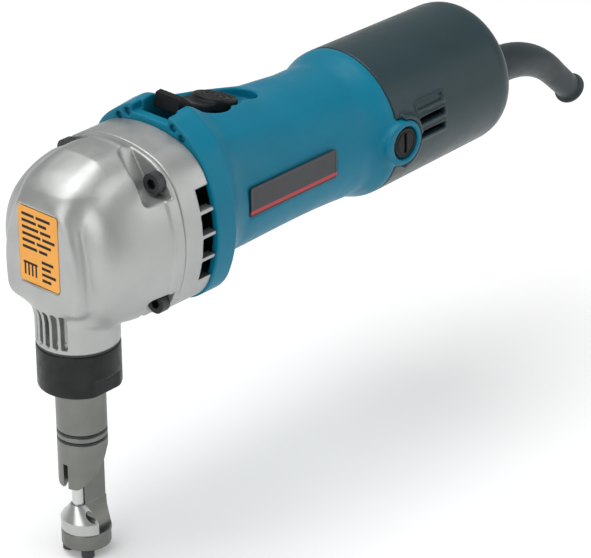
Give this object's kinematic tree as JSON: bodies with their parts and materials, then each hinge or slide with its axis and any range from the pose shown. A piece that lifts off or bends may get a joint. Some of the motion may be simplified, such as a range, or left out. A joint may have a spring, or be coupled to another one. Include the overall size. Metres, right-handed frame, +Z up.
{
  "type": "nibbler tool",
  "caption": "Electric punch nibbler for sheet metal: right-angle gear head with a turning die holder below, waisted motor body with a slide switch, and a rear cord guard.",
  "frame": {"origin": "on the punch line, the axis of the die holder's shank, at the lock nut's lower face", "axes": "+Z up along the shank, away from the work; +X back along the motor axis to the cord; -X is the labelled front face"},
  "size_m": [0.3437, 0.0768, 0.191],
  "materials": {
    "cast_aluminium": "satin, bead blasted",
    "inner_aluminium": "as cast",
    "blue_plastic": "satin moulded",
    "charcoal_plastic": "satin moulded",
    "black_plastic": "matt moulded",
    "capacitor_plastic": "gloss",
    "dark_plate": "printed plate",
    "orange_label": "printed label",
    "black_steel": "black oxide",
    "black_oxide": "black oxide, oiled",
    "zinc_steel": "zinc plated",
    "ground_steel": "ground",
    "gear_steel": "hardened",
    "bearing_steel": "polished",
    "polished_steel": "ground and polished",
    "holder_steel": "turned, grey",
    "lamination_steel": "stacked laminations",
    "bronze": "sintered bronze",
    "brass": "plain",
    "copper": "turned copper",
    "copper_wire": "varnished wire",
    "carbon": "sintered carbon",
    "black_rubber": "matt"
  },
  "bodies": {
    "root": {"gear_housing": "cast_aluminium", "gear_housing_cover": "cast_aluminium", "bearing_plate": "inner_aluminium", "plate_screws": "zinc_steel", "housing_screws": "black_steel", "front_label": "orange_label", "motor_housing": "blue_plastic", "name_plate": "dark_plate", "rear_cover": "charcoal_plastic", "rear_cover_screws": "black_steel", "neck_seal": "black_rubber", "ram_guide": "bronze", "crank_bearings": "bearing_steel", "lay_shaft_bushes": "bronze", "motor_bearings": "bearing_steel", "fan_baffle": "black_plastic", "field_core": "lamination_steel", "field_coils": "copper_wire", "brush_holders": "brass", "carbon_brushes": "carbon", "brush_springs": "bearing_steel", "brush_caps": "black_plastic", "switch_unit": "black_plastic", "switch_spring_clip": "zinc_steel", "capacitor": "capacitor_plastic", "cord_clamp": "black_plastic", "cord_clamp_screws": "zinc_steel", "cord_guard": "black_rubber"},
    "armature": {"armature_shaft": "ground_steel", "armature_core": "lamination_steel", "armature_winding": "copper_wire", "commutator": "copper", "cooling_fan": "black_plastic"},
    "lay": {"lay_shaft": "ground_steel", "lay_gear": "gear_steel"},
    "crank": {"crank_shaft": "ground_steel", "crank_gear": "gear_steel", "gear_clip": "black_steel"},
    "rod": {"connecting_rod": "gear_steel", "rod_bearing": "bearing_steel"},
    "ram": {"ram": "ground_steel", "wrist_pin": "bearing_steel", "retaining_pins": "bearing_steel"},
    "punch": {"punch_holder": "ground_steel", "punch": "polished_steel", "punch_screw": "black_steel"},
    "die_holder": {"die_holder": "holder_steel", "shank_rings": "black_rubber", "die": "polished_steel", "die_bolts": "black_steel"},
    "lock_nut": {"lock_nut": "black_oxide"},
    "switch": {"switch_lever": "black_plastic", "switch_rod": "zinc_steel"}
  },
  "joints": [
    {"name": "armature_spin", "type": "hinge", "parent": "root", "child": "armature", "pos_m": [0, 0, 0.062], "axis": [1, 0, 0], "continuous": true},
    {"name": "lay_spin", "type": "hinge", "parent": "root", "child": "lay", "pos_m": [0, 0, 0.0809], "axis": [1, 0, 0], "continuous": true},
    {"name": "crank_spin", "type": "hinge", "parent": "root", "child": "crank", "pos_m": [0, 0, 0.062], "axis": [1, 0, 0], "continuous": true},
    {"name": "rod_pivot", "type": "hinge", "parent": "crank", "child": "rod", "pos_m": [0, 0, 0.059], "axis": [1, 0, 0], "continuous": true},
    {"name": "ram_slide", "type": "slide", "parent": "root", "child": "ram", "axis": [0, 0, 1], "range_m": [0, 0.006]},
    {"name": "punch_swivel", "type": "hinge", "parent": "ram", "child": "punch", "pos_m": [0, 0, 0], "axis": [0, 0, 1], "continuous": true},
    {"name": "die_turn", "type": "hinge", "parent": "root", "child": "die_holder", "pos_m": [0, 0, 0], "axis": [0, 0, 1], "continuous": true},
    {"name": "lock_nut_turn", "type": "hinge", "parent": "root", "child": "lock_nut", "pos_m": [0, 0, 0], "axis": [0, 0, 1], "range_deg": [0, 90]},
    {"name": "switch_slide", "type": "slide", "parent": "root", "child": "switch", "axis": [-1, 0, 0], "range_m": [0, 0.005]}
  ],
  "couplings": [
    {"joint": "lay_spin", "follows": "armature_spin", "ratio": -0.27273},
    {"joint": "crank_spin", "follows": "armature_spin", "ratio": 0.085227},
    {"joint": "rod_pivot", "follows": "armature_spin", "ratio": -0.085227},
    {"joint": "punch_swivel", "follows": "die_turn", "ratio": 1}
  ]
}
